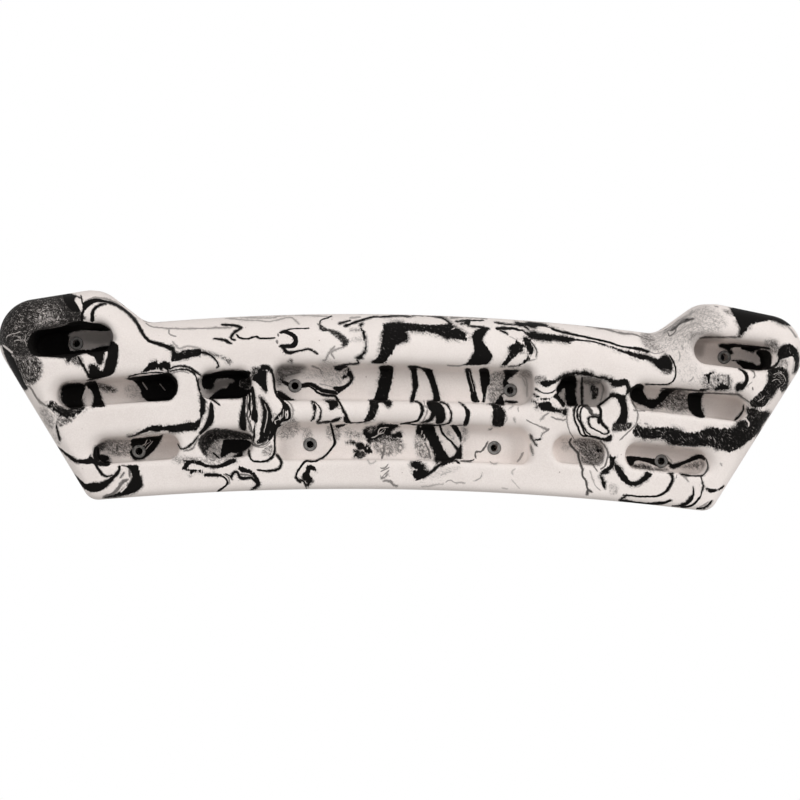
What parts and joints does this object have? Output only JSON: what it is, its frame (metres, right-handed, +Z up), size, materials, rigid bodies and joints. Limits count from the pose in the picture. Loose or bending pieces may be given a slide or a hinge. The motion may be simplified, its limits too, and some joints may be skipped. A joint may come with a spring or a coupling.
{
  "type": "hangboard",
  "caption": "Arched climbing training board in marbled resin, with jugs, wide slots and finger pockets on its front and screw holes through the floors of the holds.",
  "frame": {"origin": "centre of the flat back at the middle of the board, on the row of the centre slots' shared level", "axes": "+Z up, +X towards the climber's right, +Y into the wall; the back lies in Y = 0 and the holds open towards -Y"},
  "size_m": [0.6074, 0.057, 0.1583],
  "materials": {
    "marbled_resin": "matte cast resin, off-white with poured black marbling, feathered black bands and smoky grey stipple",
    "washer_steel": "dull zinc-plated steel"
  },
  "bodies": {
    "root": {"board_casting": "marbled_resin", "washer_jug_left": "washer_steel", "washer_jug_right": "washer_steel", "washer_upper_slot_left": "washer_steel", "washer_upper_slot_right": "washer_steel", "washer_lower_slot_left": "washer_steel", "washer_lower_slot_right": "washer_steel", "washer_three_finger_left": "washer_steel", "washer_three_finger_right": "washer_steel"}
  },
  "joints": []
}
